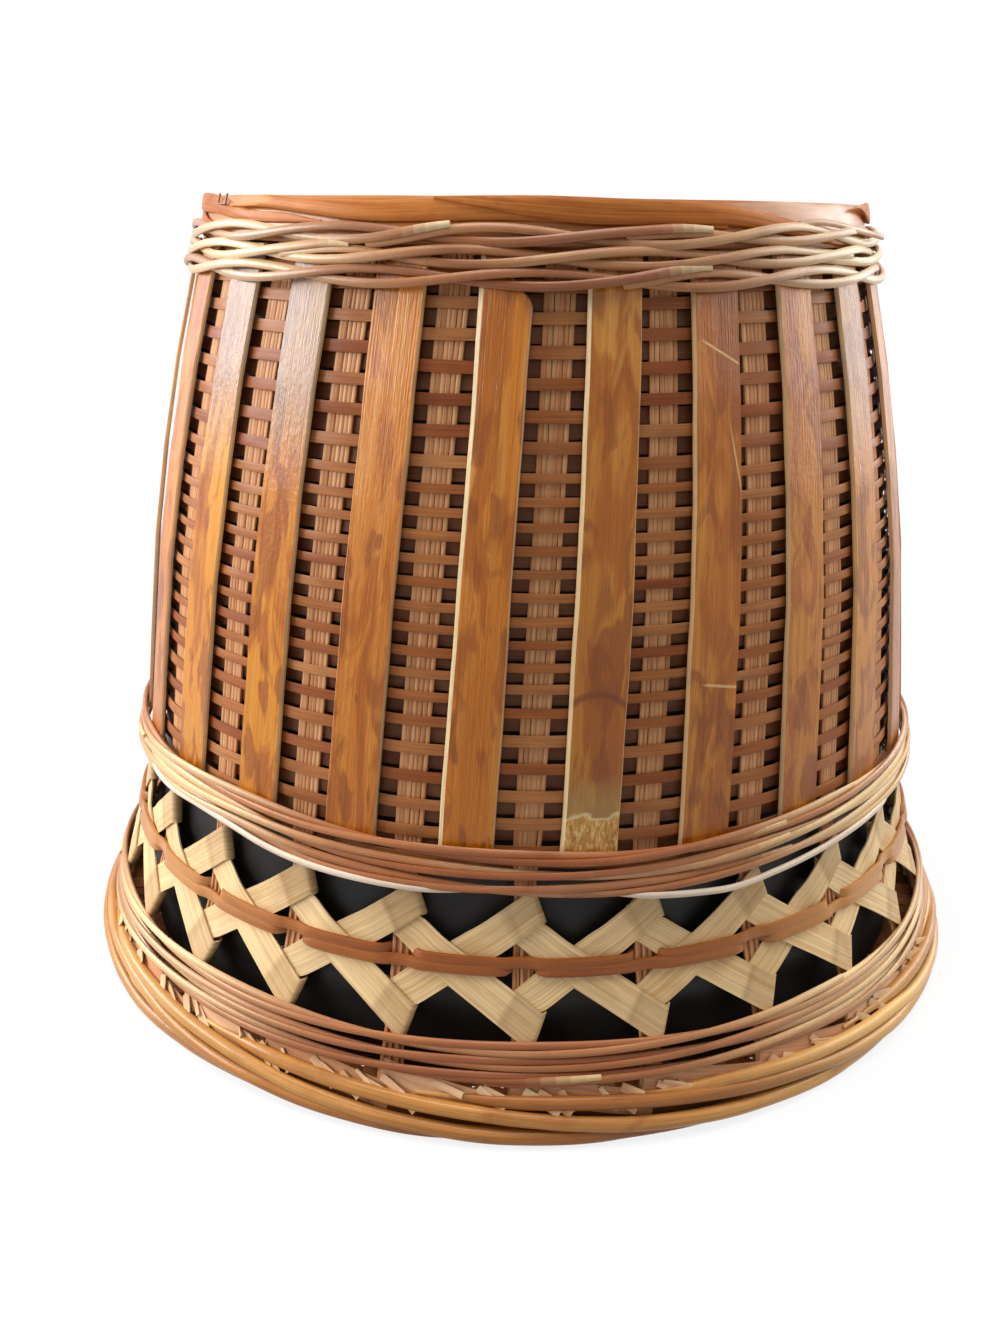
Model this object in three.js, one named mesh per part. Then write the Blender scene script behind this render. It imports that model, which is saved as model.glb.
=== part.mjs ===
import * as THREE from 'three';

// Bamboo planter: a tapered basket with a woven wall, upright slats outside it,
// an openwork skirt and a wide foot. Millimetres, +z up, front towards -y.
// It stands on z = 0 with its axis on z.

// Wall line, from the foot to the mouth: the middle of the stakes
const FOOT_RADIUS = 165;
const LOWER_BAND_HEIGHT = 24.5;
const LOWER_BAND_RADIUS = 158;
const RING_HEIGHT = 51.5;
const RING_RADIUS = 148.2;
const WAIST_HEIGHT = 81.2;
const WAIST_RADIUS = 143.3;
const BELLY_HEIGHT = 155;
const BELLY_RADIUS = 135;
const SHOULDER_HEIGHT = 217;
const SHOULDER_RADIUS = 123.2;
const RIM_HEIGHT = 269;
const MOUTH_RADIUS = 109.4;
const STEPS_PER_STRETCH = 2;

// The stakes lean round the axis from the waist to the rim
const LEAN = THREE.MathUtils.degToRad( 3.6 );
const FRONT_STAKE_ANGLE = THREE.MathUtils.degToRad( 0.5 );

// An odd number of stakes lets one weft and one zigzag strip alternate all the way round
const STAKE_PAIRS = 12;
const STAKE_COUNT = 2 * STAKE_PAIRS + 1;
const STEP = 2 * Math.PI / STAKE_COUNT;

// Air between pieces that touch on the real planter
const CLEARANCE = 0.35;

// Stakes
const STAKE_WIDTH = 8.6;
const STAKE_THICKNESS = 1.2;
const STAKE_FOOT = 1.5;
const STAKE_BELOW_RIM = 1.5;

// Weft of the wall
const WEFT_THICKNESS = 0.8;
const WEFT_TURNS = 20;
const WEFT_ROW_GAP = 0.7;

// Slats
const SLAT_THICKNESS = 1.4;
const SLAT_WIDTH_LOW = 17.2;
const SLAT_WIDTH_HIGH = 15.2;
const SLAT_STAND = 0.5;
const SLAT_TUCK = 1.5;

// Rim hoop
const HOOP_HEIGHT = 13.5;
const HOOP_THICKNESS = 1.8;
const HOOP_SIDES = 2 * STAKE_COUNT;

// Wound canes: diameter, loops, and the pitch from loop to loop
const CANE_GAP = 0.45;
const CANE_SIDES = 5;
const RIM_CANE = 2.5;
const RIM_LOOPS = 7;
const RIM_CANE_BELOW_HOOP = 10.4;
const WAIST_CANE = 2.5;
const WAIST_LOOPS = 5;
const RING_CANE = 3.2;
const RING_LOOPS = 2;
const LOWER_CANE = 2.8;
const LOWER_LOOPS = 4;
const FOOT_CANE = 5;
const FOOT_CANE_SIDES = 6;
const FOOT_OUTER_LOOPS = 3;
const FOOT_CUT = 0.5;
const CLIMB_STEPS = 4;

// Zigzag strip of the openwork
const ZIGZAG_WIDTH = 10.4;
const ZIGZAG_THICKNESS = 0.8;
const ZIGZAG_TUCK = 0.4;
const ZIGZAG_DIP = 0.6;

// Base mat and liner
const MAT_THICKNESS = 2.4;
const LINER_THICKNESS = 1.2;
const LINER_FOOT_RADIUS = 150;
const LINER_BELOW_RIM = 4;
const ROUND_SIDES = 50;

// Heights that follow from the sizes above
const waistPitch = WAIST_CANE + CANE_GAP;
const waistBandHeight = WAIST_CANE + ( WAIST_LOOPS - 1 ) * waistPitch;
const waistBottom = WAIST_HEIGHT - waistBandHeight / 2;
const lowerPitch = LOWER_CANE + CANE_GAP;
const lowerBandHeight = LOWER_CANE + ( LOWER_LOOPS - 1 ) * lowerPitch;
const lowerBottom = LOWER_BAND_HEIGHT - lowerBandHeight / 2;
const ringPitch = RING_CANE + CANE_GAP;
const ringBottom = RING_HEIGHT - ( RING_CANE + ( RING_LOOPS - 1 ) * ringPitch ) / 2;
const hoopBottom = RIM_HEIGHT - HOOP_HEIGHT;
const slatTop = hoopBottom - CLEARANCE;
const slatBottom = waistBottom + SLAT_TUCK;
const zigzagTop = waistBottom + ZIGZAG_TUCK;
const zigzagBottom = lowerBottom + lowerBandHeight + CLEARANCE;
const matBottom = FOOT_CANE - FOOT_CUT + CLEARANCE;
const linerBottom = matBottom + MAT_THICKNESS + CLEARANCE;

// The wall line as a polygon, so that every piece beside it bends at the same heights
const wallCurve = new THREE.CatmullRomCurve3( [
	new THREE.Vector3( FOOT_RADIUS, 0, 0 ),
	new THREE.Vector3( LOWER_BAND_RADIUS, 0, LOWER_BAND_HEIGHT ),
	new THREE.Vector3( RING_RADIUS, 0, RING_HEIGHT ),
	new THREE.Vector3( WAIST_RADIUS, 0, WAIST_HEIGHT ),
	new THREE.Vector3( BELLY_RADIUS, 0, BELLY_HEIGHT ),
	new THREE.Vector3( SHOULDER_RADIUS, 0, SHOULDER_HEIGHT ),
	new THREE.Vector3( MOUTH_RADIUS, 0, RIM_HEIGHT )
], false, 'centripetal' );
const wallLine = wallCurve.getPoints( STEPS_PER_STRETCH * ( wallCurve.points.length - 1 ) );

function wallSegment( z ) {

	let i = 1;
	while ( i < wallLine.length - 1 && wallLine[ i ].z < z ) i ++;
	return [ wallLine[ i - 1 ], wallLine[ i ] ];

}

function wallRadius( z ) {

	const [ low, high ] = wallSegment( z );
	return THREE.MathUtils.lerp( low.x, high.x, ( z - low.z ) / ( high.z - low.z ) );

}

// How much longer a gap across the leaning wall is along the radius
function wallStretch( z ) {

	const [ low, high ] = wallSegment( z );
	return Math.hypot( 1, ( high.x - low.x ) / ( high.z - low.z ) );

}

function lean( z ) {

	return LEAN * THREE.MathUtils.clamp( ( z - WAIST_HEIGHT ) / ( RIM_HEIGHT - WAIST_HEIGHT ), 0, 1 );

}

// Heights of a piece from low to high, with the bends of the wall line between
function wallHeights( low, high ) {

	const bends = wallLine.map( ( point ) => point.z ).filter( ( z ) => z > low + 1 && z < high - 1 );
	return [ low, ...bends, high ];

}

// A point at an angle from the front, a radius, a height and a distance along the tangent
function ringPoint( angle, radius, z, across = 0 ) {

	return new THREE.Vector3(
		radius * Math.sin( angle ) + across * Math.cos( angle ),
		across * Math.sin( angle ) - radius * Math.cos( angle ),
		z
	);

}

// How far a straight chord over the angle span lies inside its circle, at an angle from its end
function chordSag( radius, span, angle ) {

	return radius * ( 1 - Math.cos( span / 2 ) / Math.cos( span / 2 - angle ) );

}

// A closed body through rings of points: capped at its ends, or running back into itself
function loft( rings, closed = false ) {

	const sides = rings[ 0 ].length;
	const positions = rings.flat().flatMap( ( point ) => point.toArray() );
	const triangles = [];
	const joints = closed ? rings.length : rings.length - 1;
	for ( let i = 0; i < joints; i ++ ) {

		const here = i * sides;
		const next = ( ( i + 1 ) % rings.length ) * sides;
		for ( let j = 0; j < sides; j ++ ) {

			const k = ( j + 1 ) % sides;
			triangles.push( [ here + j, here + k, next + k ], [ here + j, next + k, next + j ] );

		}

	}

	if ( ! closed ) {

		const last = ( rings.length - 1 ) * sides;
		for ( let j = 1; j < sides - 1; j ++ ) {

			triangles.push( [ 0, j + 1, j ], [ last, last + j, last + j + 1 ] );

		}

	}

	const vertex = ( index ) => new THREE.Vector3().fromArray( positions, 3 * index );
	let volume = 0;
	for ( const [ a, b, c ] of triangles ) volume += vertex( a ).dot( vertex( b ).cross( vertex( c ) ) );
	if ( volume < 0 ) triangles.forEach( ( triangle ) => triangle.reverse() );

	const geometry = new THREE.BufferGeometry();
	geometry.setAttribute( 'position', new THREE.Float32BufferAttribute( positions, 3 ) );
	geometry.setIndex( triangles.flat() );
	geometry.computeVertexNormals();
	return geometry;

}

// A flat strip that follows the wall upwards, its flat side square to the radius
function uprightStrip( low, high, width, inner, thickness ) {

	return loft( wallHeights( low, high ).map( ( z ) => {

		const half = width( z ) / 2;
		const near = wallRadius( z ) + inner( z );
		const far = near + thickness;
		return [
			ringPoint( lean( z ), near, z, - half ),
			ringPoint( lean( z ), near, z, half ),
			ringPoint( lean( z ), far, z, half ),
			ringPoint( lean( z ), far, z, - half )
		];

	} ) );

}

// One corner of the section of a strip that runs round the wall
function wallCorner( angle, z, offset ) {

	return ringPoint( angle + lean( z ), wallRadius( z ) + offset, z );

}

function bandSection( angle, z, halfHeight, offset, thickness ) {

	const inside = offset - thickness / 2;
	const outside = offset + thickness / 2;
	return [
		wallCorner( angle, z - halfHeight, inside ),
		wallCorner( angle, z + halfHeight, inside ),
		wallCorner( angle, z + halfHeight, outside ),
		wallCorner( angle, z - halfHeight, outside )
	];

}

// How far the weft swings out and in so that its chords clear the edges of the stakes
function weftSwing( z ) {

	const radius = wallRadius( z );
	const edge = ( STAKE_WIDTH / 2 + CLEARANCE ) / radius;
	const share = edge / STEP;
	const sag = chordSag( radius, STEP, edge );
	const edgeRise = ( STAKE_WIDTH / 2 ) ** 2 / ( 2 * radius );
	const clear = ( STAKE_THICKNESS + WEFT_THICKNESS ) / 2 + CLEARANCE + edgeRise;
	const swing = 2 * clear / ( 1 - 2 * share );
	return { outward: clear + sag + swing * share, inward: clear - sag + swing * share, swing };

}

function slatWidth( z ) {

	const share = ( z - slatBottom ) / ( slatTop - slatBottom );
	return THREE.MathUtils.lerp( SLAT_WIDTH_LOW, SLAT_WIDTH_HIGH, share );

}

// The inner face of a slat stands just clear of the weft where the weft passes its edge
function slatInner( z ) {

	const radius = wallRadius( z );
	const { outward, swing } = weftSwing( z );
	const angle = STEP / 2 - slatWidth( z ) / 2 / radius;
	const weftFace = outward - swing * angle / STEP - chordSag( radius, STEP, angle ) + WEFT_THICKNESS / 2;
	return weftFace + CLEARANCE + SLAT_STAND;

}

function slatFace( z ) {

	return wallRadius( z ) + slatInner( z ) + SLAT_THICKNESS;

}

function stakeFace( z ) {

	return wallRadius( z ) + STAKE_THICKNESS / 2;

}

// The hoop has a flat side on every stake
function hoopInner( z ) {

	const edgeRise = ( STAKE_WIDTH / 2 ) ** 2 / ( 2 * wallRadius( z ) );
	return stakeFace( z ) + CLEARANCE + edgeRise;

}

// Largest radius of a hoop side's corner, where the outer face is highest
function hoopFace( z ) {

	return ( hoopInner( z ) + HOOP_THICKNESS ) / Math.cos( Math.PI / HOOP_SIDES );

}

// A cane along a list of centre points: { angle, radius, z }. A section with an odd number
// of sides has a flat towards the wall, one with an even number a flat underneath.
function cane( path, diameter, sides, ground = - Infinity ) {

	return loft( path.map( ( { angle, radius, z } ) => {

		const section = [];
		for ( let i = 0; i < sides; i ++ ) {

			const turn = Math.PI + ( i + sides % 2 / 2 ) * 2 * Math.PI / sides;
			const height = z + diameter / 2 * Math.sin( turn );
			section.push( ringPoint( angle, radius + diameter / 2 * Math.cos( turn ), Math.max( height, ground ) ) );

		}

		return section;

	} ) );

}

// Loops of straight chords, level but for the climb in the last steps of each loop.
// corner is the share of a step from a stake to the corners, so that 0 lays the
// chords flat over the slats and 0.5 lays them flat over the stakes.
function windingPath( { diameter, loops, pitch, bottom, face, corner } ) {

	const path = [];
	const last = loops * STAKE_COUNT - CLIMB_STEPS;
	const back = Math.round( STAKE_COUNT / 2 );
	for ( let i = 0; i <= last; i ++ ) {

		const inLoop = i % STAKE_COUNT;
		const climb = Math.max( 0, inLoop - STAKE_COUNT + CLIMB_STEPS ) / CLIMB_STEPS;
		const z = bottom + diameter / 2 + pitch * ( Math.floor( i / STAKE_COUNT ) + climb );
		const apothem = face( z ) + ( diameter / 2 + CLEARANCE ) * wallStretch( z );
		const angle = ( i + back + corner ) * STEP + lean( z );
		path.push( { angle, radius: apothem / Math.cos( STEP / 2 ), z } );

	}

	return path;

}

// Least air between two loops of a winding, measured at its corners and printed
function reportSelfGap( name, path, diameter ) {

	const points = path.map( ( { angle, radius, z } ) => ringPoint( angle, radius, z ) );
	let least = Infinity;
	for ( let i = 0; i < points.length; i ++ ) {

		for ( let j = i + 3; j < points.length; j ++ ) {

			least = Math.min( least, points[ i ].distanceTo( points[ j ] ) );

		}

	}

	console.log( `${ name }: least gap to itself ${ ( least - diameter ).toFixed( 2 ) } mm` );

}

function winding( name, sizes ) {

	const path = windingPath( sizes );
	reportSelfGap( name, path, sizes.diameter );
	return cane( path, sizes.diameter, CANE_SIDES );

}

// The lowest loops run round the slats' upper ends, the others round the hoop
function rimFace( z ) {

	const onSlats = z - RIM_CANE / 2 < slatTop ? slatFace( Math.min( z, slatTop ) ) : 0;
	const onHoop = z + RIM_CANE / 2 > hoopBottom ? hoopFace( z ) : 0;
	return Math.max( onSlats, onHoop );

}

// The foot cane lies inside the stakes for one loop, slips out between two of them
// and climbs outside. Its lowest loops are cut flat where the planter stands.
function footPath() {

	const path = [];
	const radius = FOOT_CANE / 2;
	const back = Math.round( STAKE_COUNT / 2 );
	const slip = STEP / 2 - 2 * ( STAKE_WIDTH / 2 ) / FOOT_RADIUS;
	const low = radius - FOOT_CUT;
	const reach = ( z ) => STAKE_THICKNESS / 2 + ( radius + CLEARANCE ) * wallStretch( z );
	const inside = ( fromStake ) => ( wallRadius( low ) - reach( low ) ) / Math.cos( fromStake );
	const outside = ( z, fromStake ) => ( wallRadius( z ) + reach( z ) ) / Math.cos( fromStake );

	const start = ( back + 0.5 ) * STEP;
	path.push( { angle: start + slip, radius: inside( STEP / 2 - slip ), z: low } );
	for ( let i = 1; i < STAKE_COUNT; i ++ ) {

		path.push( { angle: start + i * STEP, radius: inside( STEP / 2 ), z: low } );

	}

	const turn = start + STAKE_COUNT * STEP;
	path.push( { angle: turn - slip, radius: inside( STEP / 2 - slip ), z: low } );
	path.push( { angle: turn + slip, radius: outside( low, STEP / 2 - slip ), z: low } );
	const last = FOOT_OUTER_LOOPS * STAKE_COUNT - CLIMB_STEPS;
	for ( let i = 1; i <= last; i ++ ) {

		const climb = Math.max( 0, i % STAKE_COUNT - STAKE_COUNT + CLIMB_STEPS ) / CLIMB_STEPS;
		const z = low + ( FOOT_CANE + CANE_GAP ) * ( Math.floor( i / STAKE_COUNT ) + climb );
		path.push( { angle: turn + i * STEP, radius: outside( z, STEP / 2 ), z } );

	}

	return path;

}

// The zigzag strip runs twice round before it meets itself. It lies on a stake at every
// apex, and halfway between stakes its falling runs pass over its rising runs.
function zigzagSizes() {

	const middle = ( zigzagTop + zigzagBottom ) / 2;
	const reach = ( zigzagTop - zigzagBottom ) / 2;
	const pitch = wallRadius( middle ) * STEP;
	const narrow = 1 - ( ZIGZAG_WIDTH / pitch ) ** 2;
	const root = Math.sqrt( reach ** 2 - narrow * ( reach ** 2 - ( ZIGZAG_WIDTH / 2 ) ** 2 ) );
	const amplitude = ( reach - root ) / narrow;
	const halfHeight = reach - amplitude;
	const crossing = ( halfHeight / ( 2 * amplitude ) + 0.03 ) * STEP;
	const edgeRise = ( STAKE_WIDTH / 2 ) ** 2 / ( 2 * wallRadius( zigzagTop ) );
	const apex = ( STAKE_THICKNESS + ZIGZAG_THICKNESS ) / 2 + CLEARANCE + edgeRise + ZIGZAG_DIP / 2;
	const under = apex - ZIGZAG_DIP;
	const over = under + ZIGZAG_THICKNESS + CLEARANCE;
	return { middle, amplitude, halfHeight, crossing, apex, under, over };

}

function zigzagStrip() {

	const { middle, amplitude, halfHeight, crossing, apex, under, over } = zigzagSizes();
	const sections = [];
	const add = ( angle, share, offset ) => sections.push(
		bandSection( angle, middle + share * amplitude, halfHeight, offset, ZIGZAG_THICKNESS )
	);
	for ( let i = 0; i < 2 * STAKE_COUNT; i ++ ) {

		const side = i % 2 === 0 ? 1 : - 1;
		const level = side > 0 ? over : under;
		const share = side * 2 * crossing / STEP;
		add( i * STEP, side, apex );
		add( ( i + 0.5 ) * STEP - crossing, share, level );
		add( ( i + 0.5 ) * STEP + crossing, - share, level );

	}

	return loft( sections, true );

}

// The ring canes lie flat over the crossings of the zigzag
function ringFace( z ) {

	const { middle, amplitude, halfHeight, crossing, over } = zigzagSizes();
	const reach = halfHeight + 2 * crossing / STEP * amplitude;
	const wall = ( wallRadius( middle - reach ) + wallRadius( middle + reach ) ) / 2;
	const drift = wallRadius( z ) - wallRadius( middle );
	return ( wall + over + ZIGZAG_THICKNESS / 2 ) * Math.cos( crossing ) + Math.max( drift, 0 );

}

function weft() {

	const bottom = zigzagTop + CLEARANCE;
	const top = hoopBottom - CLEARANCE;
	const pitch = ( top - bottom + WEFT_ROW_GAP ) / ( WEFT_TURNS + 1 );
	const halfHeight = ( pitch - WEFT_ROW_GAP ) / 2;
	const sections = [];
	for ( let i = 0; i <= WEFT_TURNS * STAKE_COUNT; i ++ ) {

		const z = bottom + halfHeight + pitch * i / STAKE_COUNT;
		const { outward, inward } = weftSwing( z );
		const offset = i % 2 === 0 ? outward : - inward;
		sections.push( bandSection( i * STEP, z, halfHeight, offset, WEFT_THICKNESS ) );

	}

	return loft( sections );

}

function rimHoop() {

	const sections = [];
	const miter = Math.cos( Math.PI / HOOP_SIDES );
	for ( let i = 0; i < HOOP_SIDES; i ++ ) {

		const angle = ( i + 0.5 ) * 2 * Math.PI / HOOP_SIDES + LEAN;
		sections.push( [
			ringPoint( angle, hoopInner( hoopBottom ) / miter, hoopBottom ),
			ringPoint( angle, hoopInner( RIM_HEIGHT ) / miter, RIM_HEIGHT ),
			ringPoint( angle, ( hoopInner( RIM_HEIGHT ) + HOOP_THICKNESS ) / miter, RIM_HEIGHT ),
			ringPoint( angle, ( hoopInner( hoopBottom ) + HOOP_THICKNESS ) / miter, hoopBottom )
		] );

	}

	return loft( sections, true );

}

// A revolved piece from a profile of [ radius, height ] pairs that starts and ends on the axis
function revolve( profile ) {

	const outline = profile.map( ( [ radius, z ] ) => new THREE.Vector2( radius, z ) );
	return new THREE.LatheGeometry( outline, ROUND_SIDES ).rotateX( Math.PI / 2 );

}

function baseMat() {

	const top = matBottom + MAT_THICKNESS;
	const edge = wallRadius( top ) - STAKE_THICKNESS / 2 - CLEARANCE;
	return revolve( [ [ 0, matBottom ], [ edge, matBottom ], [ edge, top ], [ 0, top ] ] );

}

// The film hangs inside the weft, and drops straight past the flare of the skirt
function liner() {

	const top = RIM_HEIGHT - LINER_BELOW_RIM;
	const radius = ( z ) => {

		const { inward } = weftSwing( z );
		const besideWeft = wallRadius( z ) - inward - WEFT_THICKNESS / 2 - CLEARANCE;
		return Math.min( besideWeft, LINER_FOOT_RADIUS );

	};

	const heights = wallHeights( linerBottom, top );
	const outer = heights.map( ( z ) => [ radius( z ), z ] );
	const inner = heights.slice( 1 ).reverse().map( ( z ) => [ radius( z ) - LINER_THICKNESS, z ] );
	const floor = linerBottom + LINER_THICKNESS;
	return revolve( [
		[ 0, linerBottom ],
		...outer,
		...inner,
		[ radius( floor ) - LINER_THICKNESS, floor ],
		[ 0, floor ]
	] );

}

const bamboo = new THREE.MeshStandardMaterial( { color: 0xb8762a, roughness: 0.35, metalness: 0 } );
const stakeFibre = new THREE.MeshStandardMaterial( { color: 0x9a6446, roughness: 0.6, metalness: 0 } );
const weftFibre = new THREE.MeshStandardMaterial( { color: 0xa87850, roughness: 0.6, metalness: 0 } );
const reddishCane = new THREE.MeshStandardMaterial( { color: 0xa5653f, roughness: 0.45, metalness: 0 } );
const goldenCane = new THREE.MeshStandardMaterial( { color: 0xb98343, roughness: 0.4, metalness: 0 } );
const paleStrip = new THREE.MeshStandardMaterial( { color: 0xc9a96c, roughness: 0.55, metalness: 0 } );
const blackFilm = new THREE.MeshStandardMaterial( { color: 0x101010, roughness: 0.4, metalness: 0 } );

const planter = new THREE.Group();
planter.rotation.z = FRONT_STAKE_ANGLE;

function place( name, geometry, material, angle = 0 ) {

	const mesh = new THREE.Mesh( geometry, material );
	mesh.name = name;
	mesh.rotation.z = angle;
	planter.add( mesh );

}

const stake = uprightStrip(
	STAKE_FOOT, RIM_HEIGHT - STAKE_BELOW_RIM, () => STAKE_WIDTH, () => - STAKE_THICKNESS / 2, STAKE_THICKNESS
);
const slat = uprightStrip( slatBottom, slatTop, slatWidth, slatInner, SLAT_THICKNESS );
for ( let i = 0; i < STAKE_COUNT; i ++ ) {

	const number = String( i + 1 ).padStart( 2, '0' );
	place( `stake_${ number }`, stake, stakeFibre, i * STEP );
	place( `slat_${ number }`, slat, bamboo, ( i + 0.5 ) * STEP );

}

place( 'weft', weft(), weftFibre );
place( 'rim_hoop', rimHoop(), bamboo );
place( 'rim_winding', winding( 'rim winding', {
	diameter: RIM_CANE,
	loops: RIM_LOOPS,
	pitch: RIM_CANE + CANE_GAP,
	bottom: hoopBottom - RIM_CANE_BELOW_HOOP,
	face: rimFace,
	corner: 0
} ), reddishCane );
place( 'waist_band', winding( 'waist band', {
	diameter: WAIST_CANE,
	loops: WAIST_LOOPS,
	pitch: waistPitch,
	bottom: waistBottom,
	face: ( z ) => slatFace( Math.max( z, slatBottom ) ),
	corner: 0
} ), reddishCane );
place( 'middle_ring', winding( 'middle ring', {
	diameter: RING_CANE,
	loops: RING_LOOPS,
	pitch: ringPitch,
	bottom: ringBottom,
	face: ringFace,
	corner: 0
} ), reddishCane );
place( 'lower_band', winding( 'lower band', {
	diameter: LOWER_CANE,
	loops: LOWER_LOOPS,
	pitch: lowerPitch,
	bottom: lowerBottom,
	face: stakeFace,
	corner: 0.5
} ), reddishCane );
place( 'zigzag_strip', zigzagStrip(), paleStrip );

const footCanePath = footPath();
reportSelfGap( 'foot border', footCanePath, FOOT_CANE );
place( 'foot_border', cane( footCanePath, FOOT_CANE, FOOT_CANE_SIDES, 0 ), goldenCane );
place( 'base_mat', baseMat(), weftFibre );
place( 'liner', liner(), blackFilm );

export default planter;
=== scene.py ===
"""Bamboo planter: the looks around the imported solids.

Sizes are in millimetres until a mesh is made. Angles are in degrees from the front.
"""

import math

import bpy
import numpy as np
from mathutils import Matrix, Vector


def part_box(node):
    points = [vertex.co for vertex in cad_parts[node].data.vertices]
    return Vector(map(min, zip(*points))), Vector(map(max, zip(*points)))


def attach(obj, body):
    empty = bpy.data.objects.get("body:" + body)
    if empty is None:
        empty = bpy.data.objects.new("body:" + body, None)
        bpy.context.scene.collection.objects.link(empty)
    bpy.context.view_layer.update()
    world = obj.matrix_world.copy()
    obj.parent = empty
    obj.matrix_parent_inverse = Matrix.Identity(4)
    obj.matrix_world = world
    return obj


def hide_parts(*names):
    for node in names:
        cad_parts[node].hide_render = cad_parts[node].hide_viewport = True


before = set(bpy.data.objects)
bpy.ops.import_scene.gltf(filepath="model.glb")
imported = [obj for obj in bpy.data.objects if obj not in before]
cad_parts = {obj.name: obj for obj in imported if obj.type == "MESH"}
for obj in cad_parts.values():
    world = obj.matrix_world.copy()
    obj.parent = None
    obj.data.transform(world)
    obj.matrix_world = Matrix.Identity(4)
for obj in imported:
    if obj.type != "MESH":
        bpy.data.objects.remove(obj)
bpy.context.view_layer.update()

MM = 0.001
STAKES = 25
STEP = 360 / STAKES
FRONT_STAKE = 0.5
BACK = FRONT_STAKE + STEP * 12 - 360
rng = np.random.default_rng(58)


# Camera

CAMERA_PLACE = (-1.7, -476.13, 264.30)
CAMERA_LENS = 34.03
PITCH, YAW, ROLL = (math.radians(a) for a in (19.7738, 0.9501, 0.8451))


def toward(azimuth, elevation):
    """Unit vector at an azimuth from the front and an elevation, both in radians."""
    flat = math.cos(elevation)
    return Vector((math.sin(azimuth) * flat, -math.cos(azimuth) * flat, math.sin(elevation)))


def placed(name, data):
    thing = bpy.data.objects.new(name, data)
    bpy.context.scene.collection.objects.link(thing)
    return thing


def make_camera():
    back = toward(YAW, PITCH)
    level = Vector((math.cos(YAW), math.sin(YAW), 0))
    rise = toward(YAW, PITCH + math.pi / 2)
    right = level * math.cos(ROLL) + rise * math.sin(ROLL)
    up = rise * math.cos(ROLL) - level * math.sin(ROLL)
    data = bpy.data.cameras.new("camera")
    data.lens = CAMERA_LENS
    data.sensor_width = 36
    data.clip_end = 20
    camera = placed("camera", data)
    turn = Matrix((right, up, back)).transposed().to_4x4()
    camera.matrix_world = Matrix.Translation(Vector(CAMERA_PLACE) * MM) @ turn
    bpy.context.scene.camera = camera


# Curves, and the wall line from the solids


def corners_of(node):
    return np.array([v.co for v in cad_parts[node].data.vertices], float) / MM


def levels(node):
    """Heights, angle, inner and outer radius and half width of an upright CAD strip."""
    co = corners_of(node)
    co = co[np.argsort(co[:, 2])]
    rows = []
    # Corners that are less than 0.4 mm apart in height make one row
    for part in np.split(co, np.nonzero(np.diff(co[:, 2]) > 0.4)[0] + 1):
        x, y = part[:, 0].mean(), part[:, 1].mean()
        length = math.hypot(x, y)
        out = np.array([x, y]) / length
        radial = part[:, :2] @ out
        across = part[:, :2] @ np.array([-out[1], out[0]])
        left, right = across.min(), across.max()
        angle = math.degrees(math.atan2(x, -y) + math.atan2((left + right) / 2, length))
        rows.append((part[:, 2].mean(), angle, radial.min(), radial.max(), (right - left) / 2))
    return np.array(rows)


def extended(z, known, values):
    """Linear between the known heights and straight on beyond them."""
    low = values[0] + (z - known[0]) * (values[1] - values[0]) / (known[1] - known[0])
    high = values[-1] + (z - known[-1]) * (values[-1] - values[-2]) / (known[-1] - known[-2])
    inside = np.interp(z, known, values)
    return np.where(z < known[0], low, np.where(z > known[-1], high, inside))


front_stake = levels("stake_01")
GRID_Z = np.linspace(-10, 285, 1181)
SMOOTHED_STEPS = 35
stake_middle = extended(GRID_Z, front_stake[:, 0], (front_stake[:, 2] + front_stake[:, 3]) / 2)
padded = np.pad(stake_middle, SMOOTHED_STEPS // 2, mode="reflect", reflect_type="odd")
window = np.hanning(SMOOTHED_STEPS)
GRID_R = np.convolve(padded, window / window.sum(), "valid")
GRID_LEAN = np.interp(GRID_Z, front_stake[:, 0], front_stake[:, 1] - FRONT_STAKE)
GRID_SLOPE = np.gradient(GRID_R, GRID_Z)


def wall(z):
    return np.interp(z, GRID_Z, GRID_R)


def lean(z):
    return np.interp(z, GRID_Z, GRID_LEAN)


def stacked(*columns):
    return np.stack(np.broadcast_arrays(*columns), -1)


def at(angle, z, offset):
    """Points at an angle from the front, a height and a distance outside the wall line."""
    angle, radius = np.radians(angle), wall(z) + offset
    return stacked(radius * np.sin(angle), -radius * np.cos(angle), z)


def outward(angle, z):
    angle, slope = np.radians(angle), np.interp(z, GRID_Z, GRID_SLOPE)
    normal = stacked(np.sin(angle), -np.cos(angle), -slope)
    return normal / np.linalg.norm(normal, axis=-1, keepdims=True)


def smooth(low, high, x):
    t = np.clip((x - low) / (high - low), 0, 1)
    return t * t * (3 - 2 * t)


def curve(x, places, values):
    """A smooth curve through the values at rising places."""
    places, values = np.asarray(places, float), np.asarray(values, float)
    slopes = np.gradient(values, places)
    i = np.clip(np.searchsorted(places, x) - 1, 0, len(places) - 2)
    step = places[i + 1] - places[i]
    t = np.clip((x - places[i]) / step, 0, 1)
    return (
        (2 * t**3 - 3 * t**2 + 1) * values[i] + (t**3 - 2 * t**2 + t) * step * slopes[i]
        + (3 * t**2 - 2 * t**3) * values[i + 1] + (t**3 - t**2) * step * slopes[i + 1]
    )


def wander(x, size, period, phase):
    """A slow smooth drift along x, the sum of three waves."""
    turn = 2 * math.pi * x / period
    return size * (
        0.55 * np.sin(turn + phase)
        + 0.3 * np.sin(2.3 * turn + 2.1 * phase + 1)
        + 0.15 * np.sin(5.1 * turn + 3.7 * phase + 2)
    )


def any_phase():
    return rng.uniform(0, 6)


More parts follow.
